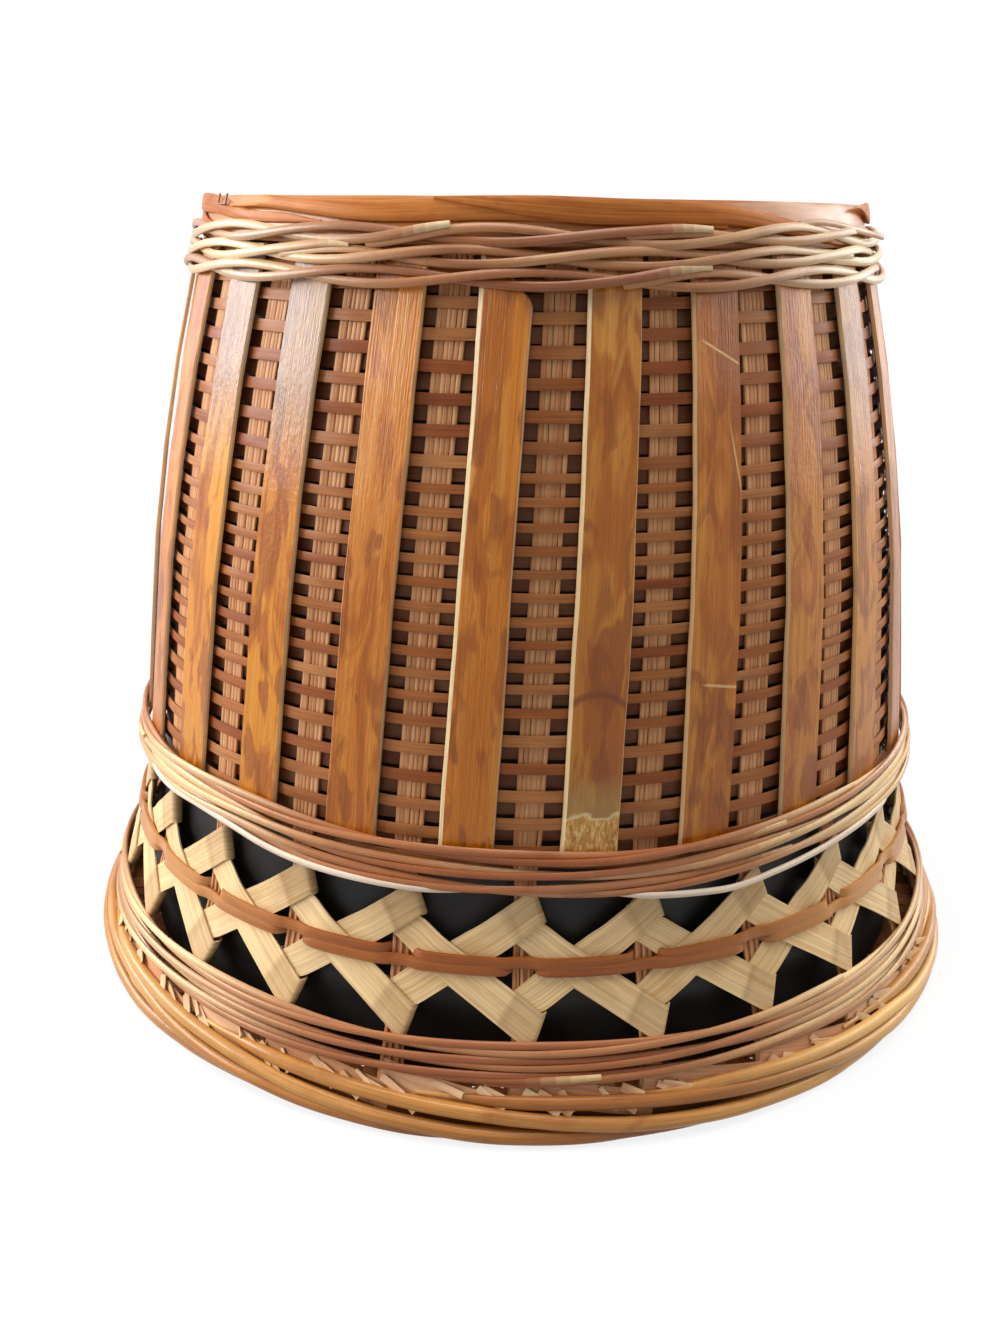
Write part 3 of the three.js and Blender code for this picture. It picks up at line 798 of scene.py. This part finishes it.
def hoop():
    angle = np.linspace(0, 360, 240, endpoint=False)
    z = HOOP_Z + wander(angle, 0.15, 120, 1.0)
    make_piece("rim_hoop_strip", [laid(
        angle, z, HOOP_OFFSET, HOOP_HEIGHT, HOOP_THICK, outline=FLAT, closed=True
    )], hoop_look, ["rim_hoop"])


def rim_strands():
    """Wide flat strands that each start thin on top of the last and sink below it."""
    parts = []
    for places, heights, widths, offsets in RIM_STRANDS:
        angle = np.linspace(places[0], places[-1], 100)
        # Painted shade darkens the strands towards the far left
        parts.append(laid(
            angle, curve(angle, places, heights), curve(angle, places, offsets),
            curve(angle, places, widths), RIM_STRAND_THICK, outline=FLAT, roll=RIM_STRAND_ROLL,
            shade=0.3 * smooth(-50, -80, angle)
        ))
    for start in OTHER_RIM_STARTS:
        u = np.linspace(0, 1, 90)
        angle = start + rng.uniform(62, 72) * u
        z = 267.9 - 2.2 * smooth(0, 0.25, u) - 6.5 * smooth(0.5, 1, u) + wander(u, 0.3, 0.7, start)
        offset = 4.4 - 1.2 * smooth(0.45, 0.7, u)
        growing = 0.15 + 0.85 * smooth(0, 0.2, u)
        width = rng.uniform(5.6, 6.8) * growing * (1 - 0.6 * smooth(0.7, 1, u))
        parts.append(laid(
            angle, z, offset, width, RIM_STRAND_THICK, outline=FLAT, roll=RIM_STRAND_ROLL
        ))
    make_piece("rim_strands", parts, rim_look, ["rim_winding"])


# Bands of thin canes

BAND_ROWS = 3
MOST_SIDE_LIGHT = 0.9
# A pale cane works loose below the waist band at either side: its angles and heights
LOOSE_CANES = (
    (
        (-64, -53, -45, -38, -33, -28, -23, -15, -5),
        (81, 80, 80.9, 79.8, 77.9, 76.5, 75.8, 75.4, 75.8)
    ),
    ((10, 16, 21, 25, 32, 43, 52, 60), (74.9, 73.6, 72.6, 72, 73.6, 76, 77.4, 79))
)


def painted_side_light(angle):
    """Painted light: how much paler the canes are made where the side light falls, most towards
    both sides of the front.
    """
    angle = wrapped(angle)
    return 1.5 * np.exp(-((angle - 54) / 22) ** 2) + 1.15 * np.exp(-((angle + 54) / 20) ** 2)


def twined(edges, turns, swing, sink, width, thick, offset, tips):
    """Rows of two canes that turn about one another, in lengths with one free end each.

    tips says at which stake, counted from the back, a cane's first length starts. swing is
    how far the canes wind up and down, and sink how far in and out.
    """
    parts = []
    for row in range(BAND_ROWS):
        lag = rng.uniform(0, 2 * math.pi)
        for twin in range(2):
            first = tips.get((row, twin), rng.uniform(0, 8))
            cuts = (first, first + rng.uniform(9, 15), first + STAKES)
            drift, wear_and_highlight = any_phase(), rng.uniform(0, MOST_SIDE_LIGHT)
            for a, b in zip(cuts, cuts[1:]):
                k = np.arange(a - 0.5, b + 0.42, 1 / 9)
                angle = BACK + STEP * k
                low, high = edges(angle)
                phase = 2 * math.pi * turns * k / STAKES + math.pi * twin + lag
                head, tail = smooth(a + 0.5, a - 0.4, k), smooth(b - 0.5, b + 0.4, k)
                z = low + (high - low) * (row + 0.5) / BAND_ROWS + swing * np.sin(phase)
                z = z + wander(k, 0.28, 8, drift) + 0.5 * width * (tail - head)
                out = offset(z) + sink * np.cos(phase) - 1.0 * head + 0.75 * tail
                size = 1 - 0.3 * smooth(b - 0.1, b + 0.42, k) + wander(k, 0.07, 6, drift + 2)
                # pale is the pale cut tail, and painted side light on some strands towards both
                # sides of the front
                pale = np.maximum(0.85 * smooth(b - 0.3, b + 0.3, k), wear_and_highlight * painted_side_light(angle))[:, None]
                parts.append(laid(
                    angle + lean(z), z, out, width * size, thick * size, cut=pale,
                    roll=0.25 * np.sin(phase)
                ))
    return parts


def top_edges(angle):
    crest = 1.9 * np.exp(-((wrapped(angle) - 42) / 16) ** 2)
    return 244.9 + 0 * angle, 261.3 + crest


def lower_edges(angle):
    return 17.7 + 0 * angle, 30.6 + 0 * angle


def top_band():
    parts = twined(
        top_edges, turns=8, swing=1.9, sink=1.0, width=2.7, thick=1.8, offset=lambda z: 5.05,
        tips={(1, 0): 10.6, (2, 1): 14.1, (0, 0): 4.0}
    )
    make_piece("top_band_canes", parts, top_look, ["rim_winding"])


def waist_band():
    parts = twined(
        waist_edges, turns=5, swing=1.15, sink=0.7, width=2.45, thick=1.7,
        offset=lambda z: 5.1 - 0.45 * smooth(84, 91, z),
        tips={(2, 0): 14.9, (2, 1): 15.9, (1, 0): 14.9, (0, 1): 15.0, (0, 0): 2.0, (1, 1): 8.0}
    )
    make_piece("waist_band_canes", parts, waist_look, ["waist_band"])
    pale = []
    share = np.linspace(0, 1, 80)
    for places, heights in LOOSE_CANES:
        angle = np.linspace(places[0], places[-1], 80)
        size = 0.55 + 0.45 * smooth(0, 0.1, share) * smooth(1, 0.9, share)
        offset = 5.9 - 1.2 * smooth(0.12, 0, share) - 1.2 * smooth(0.88, 1, share)
        pale.append(laid(angle, curve(angle, places, heights), offset, 2.1 * size, 1.5 * size))
    make_piece("loose_waist_canes", pale, pale_cane_look)


def lower_band():
    parts = twined(
        lower_edges, turns=5, swing=1.0, sink=0.6, width=2.4, thick=1.7,
        offset=lambda z: 2.75 + 0.35 * smooth(24, 29, z),
        tips={(2, 0): 16.5, (2, 1): 15.5, (0, 1): 16.3, (1, 0): 6.0}
    )
    make_piece("lower_band_canes", parts, lower_look, ["lower_band"])


RING_RADIUS = 148
RING_START = 12.5
RING_END = RING_START + 2 * STAKES
RING_SAMPLES = 24


def middle_ring():
    """One flat cane that goes twice round and dives behind every second stake."""
    k = np.linspace(RING_START, RING_END, 2 * STAKES * RING_SAMPLES)
    past_stake = (k - np.round(k)) * math.radians(STEP) * RING_RADIUS
    at_stake = 1 / (1 + (np.abs(past_stake) / 4.0) ** 6)
    behind = at_stake * (np.cos(math.pi * np.round(k)) < 0)
    offset = 3.0 - 1.0 * at_stake - 3.9 * behind
    z = 50.4 + 2.5 * smooth(36.3, 38.7, k) + wander(k, 0.3, 9, 2.0)
    angle = FRONT_STAKE + STEP * k
    full = smooth(RING_START, RING_START + 0.5, k) * smooth(RING_END, RING_END - 0.5, k)
    width = (3.7 - 0.9 * behind) * (0.4 + 0.6 * full)
    # cut here paints side light on the cane, paler towards both sides of the front
    make_piece("middle_ring_cane", [laid(
        angle, z, offset, width, 1.5, outline=FLAT, cut=0.4 * painted_side_light(angle)[:, None]
    )], ring_look, ["middle_ring"])


# Zigzag strip

ZIG_MIDDLE = 51.2
ZIG_START, ZIG_END = 11.0, 15.5
ZIG_WIDTH, ZIG_THICK = 10.5, 0.55
ZIG_RADIUS = 149.5
ZIG_PITCH = ZIG_RADIUS * math.radians(STEP)
ZIG_SLOPE = math.atan((ZIG_START + ZIG_END) / ZIG_PITCH)
# Distances from the wall line: over another run, under it and behind a stake
ZIG_OVER, ZIG_UNDER, ZIG_BEHIND = 1.95, 1.12, -1.25
RISING_IN_FRONT = {1, 6, 11, 17}


def climbed(share):
    """Height over the middle of the openwork at a share of the way to the next stake."""
    return -ZIG_START + (ZIG_START + ZIG_END) * share


def zigzag_run(number, stations):
    """Adds the stations of one run to the next stake and behind it.

    A station is x, height, depth, the two parts of the half vector, and shade.
    """
    up = 1 if number % 2 == 0 else -1
    x0 = number * ZIG_PITCH
    wins = (up > 0) == (number % STAKES in RISING_IN_FRONT)
    tilt_end = math.radians(18 + rng.uniform(-5, 5))
    fold_left, fold_right = -4.4 + rng.uniform(-0.4, 0.3), 3.3 + rng.uniform(-0.3, 0.5)
    lift_start, lift_end = rng.uniform(-0.7, 0.7, 2)
    width = ZIG_WIDTH + rng.uniform(-0.4, 0.4)
    run_shade = rng.uniform(0, 0.16)
    run_end = ZIG_PITCH + fold_right
    for x in np.linspace(fold_left, run_end, 36):
        share = x / ZIG_PITCH
        z = climbed(share) + lift_start * (1 - share) + lift_end * share
        z += 0.3 * math.sin(math.pi * share * 2)
        on_top = smooth(4, 11, x) if wins else smooth(22, 28, x)
        depth = ZIG_UNDER + (ZIG_OVER - ZIG_UNDER) * on_top
        start = 1 - smooth(fold_left, fold_left + 14, x)
        end = smooth(run_end - 13, run_end, x)
        direction = ZIG_SLOPE + math.pi / 2
        direction += start * (math.pi / 2 - direction) + end * (math.pi / 2 + tilt_end - direction)
        reach = width / 2 / math.sin(direction - ZIG_SLOPE)
        # Where it comes out from behind a stake the strip is pinched, so that no corner shows
        pinch = 0.3 * (1 - smooth(fold_left, fold_left + 10, x))
        z += pinch * reach
        reach *= 1 - pinch
        depth -= 0.55 * smooth(33, 28, ZIG_MIDDLE + up * z) * (depth > 1.5)
        # Painted shade on the fold: a dark line at the crease and darker beyond it, where the strip
        # turns over the stake, plus a random darkening for each run
        fold_shade_and_run_tone = 0.35 * math.exp(-((x - ZIG_PITCH + 4) / 0.8) ** 2) + run_shade
        fold_shade_and_run_tone += 0.24 * smooth(ZIG_PITCH - 4.5, ZIG_PITCH - 3, x)
        stations.append((
            x0 + x, ZIG_MIDDLE + up * z, depth,
            reach * math.cos(direction), up * reach * math.sin(direction), fold_shade_and_run_tone
        ))
    # Round the right edge of the next stake, behind it, and back round its left edge, with painted
    # shade on the parts behind the stake
    x, z, depth, hx, hz, _ = stations[-1]
    radius = (depth - ZIG_BEHIND) / 2
    for turn in np.linspace(0, math.pi, 8)[1:-1]:
        stations.append((
            x + radius * math.sin(turn) * 0.9, z,
            ZIG_BEHIND + radius + radius * math.cos(turn), hx, hz, 0.4
        ))
    full = width / 2 / math.cos(ZIG_SLOPE)
    end_reach = up * 0.7 * full
    next_x = x0 + ZIG_PITCH + fold_left
    next_z = ZIG_MIDDLE - up * (climbed(fold_left / ZIG_PITCH) + 0.3 * full)
    for share in np.linspace(0, 1, 5):
        stations.append((
            x + (next_x - x) * share, z + (next_z - z) * share, ZIG_BEHIND,
            hx * (1 - share), hz * (1 - share) + end_reach * share, 0.5
        ))
    radius = (ZIG_UNDER - ZIG_BEHIND) / 2
    for turn in np.linspace(0, math.pi, 7)[1:-1]:
        stations.append((
            next_x - radius * math.sin(turn), next_z,
            ZIG_UNDER - radius - radius * math.cos(turn), 0.0, end_reach, 0.1
        ))


def zigzag():
    stations = []
    for number in range(2 * STAKES):
        zigzag_run(number, stations)
    table = np.array(stations)
    # The strip's upper edge swaps sides at each turn, so the half vector keeps one sign
    for i in range(1, len(table)):
        if table[i, 3] * table[i - 1, 3] + table[i, 4] * table[i - 1, 4] < 0:
            table[i, 3:5] *= -1
    across = np.linspace(-1, 1, 5)
    x = table[:, 0, None] + table[:, 3, None] * across
    z = table[:, 1, None] + table[:, 4, None] * across
    middle = at(FRONT_STAKE + np.degrees(x / ZIG_RADIUS), z, table[:, 2, None])
    grain = stacked(run_length(middle[:, 2])[:, None], across * ZIG_WIDTH / 2, 4.0)
    make_piece(
        "zigzag_folded_strip", [sheet(middle, ZIG_THICK, grain, table[:, 5])], straw_look,
        ["zigzag_strip"]
    )


# Foot

FOOT_CANES = 13
FOOT_SPAN = 105


def foot_border():
    """A rope of thick canes: each starts on top, crosses the outer face and ends below."""
    parts = []
    u = np.linspace(0, 1, 120)
    turn = math.radians(104) - math.radians(245) * u
    c, s = np.cos(turn), np.sin(turn)
    for i in range(FOOT_CANES):
        first = -180 + i * 360 / FOOT_CANES + rng.uniform(-5, 5)
        angle = first + (FOOT_SPAN + rng.uniform(-6, 6)) * u
        z = 8.0 + 5.1 * np.sign(s) * np.abs(s) ** 0.85 + wander(u, 0.35, 0.6, any_phase())
        offset = 2.0 + np.where(c > 0, 1.95 * np.abs(c) ** 0.6, 0.9 * c)
        offset = offset + wander(u, 0.25, 0.5, any_phase())
        size = rng.uniform(4.5, 5.0) * (0.3 + 0.7 * smooth(0, 0.12, u) * smooth(1, 0.92, u))
        # pale is the pale start of each cane, and painted side light towards both sides of the
        # front
        pale = np.maximum(0.6 * smooth(0.06, 0, u), rng.uniform(0.1, 0.8) * painted_side_light(angle))[:, None]
        z = np.maximum(z, size / 2 + 0.1)
        parts.append(laid(angle, z, offset, size, size * 0.86, outline=rounded(12, 2.2), cut=pale))
    # A core that fills the gaps, made dark with painted shade, and the inner turn on which the mat
    # rests
    angle = np.linspace(0, 360, 200, endpoint=False)
    parts.append(laid(
        angle, 7.4, -0.6, 10.5, 3.6, outline=rounded(12, 3), closed=True, shade=0.75
    ))
    parts.append(laid(angle, 2.45, -3.3, 4.7, 4.4, outline=rounded(12, 2.2), closed=True))
    make_piece("foot_rope", parts, foot_look, ["foot_border"])


def tucked_ends():
    """Splints of the stakes, laid over to the right and tucked under the foot rope."""
    parts = []
    for i in range(STAKES):
        base = FRONT_STAKE + STEP * i
        x = np.linspace(0, 1, 16)
        z = 18.0 - 8.5 * x + rng.uniform(-0.5, 0.5)
        angle = base - 1.0 + rng.uniform(14.5, 16.5) * x
        offset = 0.95 + 0.5 * np.sin(math.pi * x)
        parts.append(laid(angle, z, offset, rng.uniform(7.6, 9), 0.7, outline=STRIP))
        for _ in range(int(rng.integers(3, 7))):
            x = np.linspace(0, 1, 10)
            z = rng.uniform(13.5, 17.5) - rng.uniform(2, 6.5) * x
            angle = base + rng.uniform(-6, 7) + rng.uniform(0.6, 4.0) * x
            offset = 2.0 + 1.5 * x**1.5 + rng.uniform(-0.2, 0.4)
            pale = (rng.uniform(0.1, 0.8) + 0.2 * smooth(0.5, 1, x))[:, None]
            parts.append(laid(
                angle, z, offset, rng.uniform(1.2, 3.2), 0.5, outline=STRIP, cut=pale,
                roll=rng.uniform(-0.3, 0.3)
            ))
    make_piece("tucked_stake_ends", parts, tuck_look, ["foot_border"])


# Floor of the planter and liner

MAT_PITCH, MAT_STRIP, MAT_THICK = 9.0, 8.3, 0.7
LINER_SIDES = 50
FILM_THICK = 0.35
# Rings of the liner's floor, as shares of its radius
FLOOR_RINGS = (0.12, 0.3, 0.5, 0.7, 0.85, 0.95, 0.985)


def base_mat():
    low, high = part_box("base_mat")
    middle = (low.z + high.z) / 2 / MM
    radius = high.x / MM - 0.6
    count = int(radius / MAT_PITCH)
    parts = []
    for direction in range(2):
        for i in range(-count, count + 1):
            y = i * MAT_PITCH
            half = math.sqrt(max(radius**2 - (abs(y) + 4) ** 2, 0))
            if half < 8:
                continue
            x = np.linspace(-half, half, max(8, int(half * 2 / 3)))
            z = middle + 0.5 * np.cos(math.pi * x / MAT_PITCH + math.pi * (i + direction))
            line = stacked(x, y, z)
            if direction == 1:
                line = line[:, [1, 0, 2]]
            parts.append(strand(line, np.array([[0, 0, 1]]), MAT_STRIP, MAT_THICK, outline=STRIP))
    make_piece("woven_floor", parts, weft_look, ["base_mat"])


def liner():
    low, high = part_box("liner")
    bottom, top = low.z / MM, high.z / MM
    co = corners_of("liner")
    radius = np.hypot(co[:, 0], co[:, 1])
    keys = np.unique(np.round(co[:, 2], 1))
    outer = [radius[np.abs(co[:, 2] - key) < 0.2].max() for key in keys]
    z = np.linspace(bottom + 2, top, 90)[:, None]
    flats = np.interp(z, keys, outer) * math.cos(math.pi / LINER_SIDES) - 0.2
    turn = np.linspace(0, 2 * math.pi, 200, endpoint=False)

    def ring(radius, z):
        return stacked(radius * np.sin(turn), -radius * np.cos(turn), z)

    ripple = 0.5 * np.sin(17 * turn + 0.05 * z) * np.sin(0.06 * z)
    folds = 0.3 * np.abs(np.sin(31 * turn + 0.09 * z))
    floor = [
        ring(flats[0] * share, bottom + 0.8 + 0.25 * np.sin(7 * turn + 9 * share) * (share > 0.2))
        for share in FLOOR_RINGS
    ]
    outside = np.concatenate([floor, ring(flats - 0.6 + ripple - folds, z)])
    inside = outside.copy()
    count = len(floor)
    inside[:count, :, 2] += FILM_THICK
    far = np.linalg.norm(inside[count:, :, :2], axis=-1, keepdims=True)
    inside[count:, :, :2] *= (far - FILM_THICK) / far
    both = np.concatenate([outside, inside[::-1]])
    grain = stacked(np.degrees(turn) * 2.2, both[..., 2], 1.0)
    for rings in (slice(0, count), slice(-count, None)):
        grain[rings, :, :2] = both[rings, :, :2]
    make_piece(
        "film_liner", [tube(both, grain, False, 0.0, 0.0)], film_look(), ["liner"],
        sharp=60
    )


# Staple and stray strand


def small_things():
    t = np.linspace(-1, 1, 25)
    angle = -57.2 + 1.6 * np.clip(t * 2.2, -1, 1)
    z = 269.0 - 3.0 * np.clip((1 - np.abs(t)) * 2.2, 0, 1)
    make_piece("staple", [laid(angle, z, 5.0, 0.6, 0.6, outline=rounded(8, 2))], wire_look())
    places = (42, 46, 50, 56, 61, 66)
    angle = np.linspace(places[0], places[-1], 40)
    z = curve(angle, places, (262.6, 263.2, 262.8, 261.4, 260.2, 258.9))
    offset = curve(angle, places, (4.2, 5.0, 5.4, 6.0, 7.2, 9.4))
    stray = laid(angle, z, offset, 1.9, 1.2, cut=0.2)
    make_piece("stray_strand", [stray], top_look)


# Floor and light

FLOOR_SIZE = 6.0
# Tone of the floor for bounced light, and how much paler it is where it is seen
FLOOR_TONE, FLOOR_LIFT = 0.4, 0.5
# Near the planter the floor glows less than white, so that it keeps the planter's shadow
GLOW_NEAR, GLOW_FAR, NEAR_GLOW = 0.2, 0.5, 0.84
WORLD_LEVEL = 0.25
AIM = Vector((0, 0, 0.13))


def stage():
    n = new_look("studio floor")
    seen = n.background_rays()
    cover = n.math("MULTIPLY_ADD", seen, FLOOR_LIFT, FLOOR_TONE)
    plain = n.add("ShaderNodeBsdfDiffuse", {"Color": n.join(cover, cover, cover)})
    glow = n.add("ShaderNodeEmission", {"Color": (1, 1, 1, 1), "Strength": 1.0})
    place = n.add("ShaderNodeTexCoord", output="Object")
    distance = n.add("ShaderNodeVectorMath", {0: place}, output=1, operation="LENGTH")
    bright = n.range(distance, GLOW_NEAR, GLOW_FAR, NEAR_GLOW, 1.0)
    look = n.finish(n.add("ShaderNodeMixShader", {0: n.times(seen, bright), 1: plain, 2: glow}))
    s = FLOOR_SIZE
    mesh = bpy.data.meshes.new("studio_floor")
    mesh.from_pydata([(-s, -s, 0), (s, -s, 0), (s, s, 0), (-s, s, 0)], [], [(0, 1, 2, 3)])
    mesh.materials.append(look)
    placed("studio_floor", mesh)


def lamp(name, azimuth, elevation, distance, size, level, colour=(1, 1, 1)):
    """A soft lamp whose light falls at the given level on a face turned to it."""
    side = toward(math.radians(azimuth), math.radians(elevation))
    data = bpy.data.lights.new(name, "AREA")
    data.shape = "RECTANGLE"
    data.size, data.size_y = size
    data.energy = level * math.pi**2 * distance**2
    data.color = colour
    light = placed(name, data)
    light.location = AIM + side * distance
    light.rotation_euler = (-side).to_track_quat("-Z", "Y").to_euler()


def lights():
    n = Nodes(bpy.data.worlds.new("studio"))
    strength = n.math("MULTIPLY_ADD", n.background_rays(), 1 - WORLD_LEVEL, WORLD_LEVEL)
    background = n.add("ShaderNodeBackground", {"Color": (1, 1, 1, 1), "Strength": strength})
    bpy.context.scene.world = n.finish(background, "ShaderNodeOutputWorld")
    lamp("window_left", -90, 21, 1.2, (1.1, 0.5), 1.5, (0.97, 0.98, 1.0))
    lamp("window_right", 122, 13, 1.2, (0.45, 0.6), 0.24)
    lamp("right_fill", 98, 28, 1.3, (0.8, 0.8), 0.5)
    lamp("overhead", -15, 84, 1.4, (1.0, 1.0), 0.8)


make_camera()
stage()
lights()
stakes()
weft()
slats()
hoop()
rim_strands()
top_band()
waist_band()
lower_band()
middle_ring()
zigzag()
foot_border()
tucked_ends()
base_mat()
liner()
small_things()

bpy.context.scene.view_settings.view_transform = "Standard"
